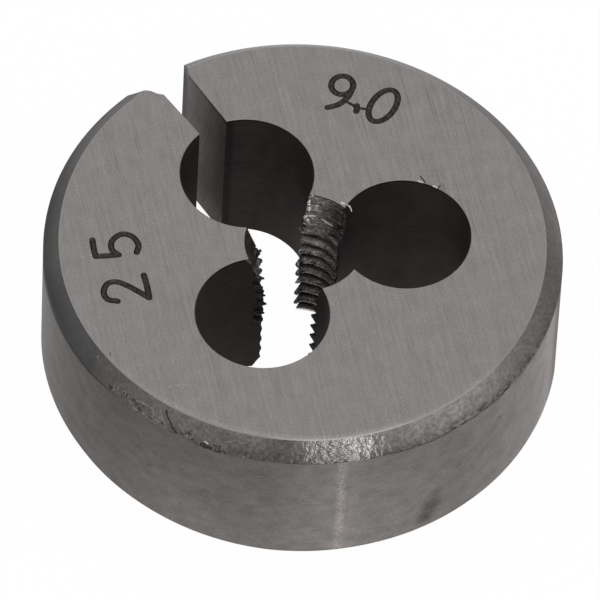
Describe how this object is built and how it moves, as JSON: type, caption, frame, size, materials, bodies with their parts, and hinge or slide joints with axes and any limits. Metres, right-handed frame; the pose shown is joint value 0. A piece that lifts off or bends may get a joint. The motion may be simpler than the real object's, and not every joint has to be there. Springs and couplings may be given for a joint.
{
  "type": "round threading die",
  "caption": "Split round die that cuts an outside thread: a thick steel disc with a threaded bore, chip holes and an adjusting slot.",
  "frame": {"origin": "on the thread axis at the back face, which is the lowest face", "axes": "+Z along the thread axis to the start face, +Y out through the adjusting slot"},
  "size_m": [0.025, 0.0249, 0.009],
  "materials": {
    "ground_steel": "ground and lightly stained"
  },
  "bodies": {
    "root": {"round_die": "ground_steel"}
  },
  "joints": []
}
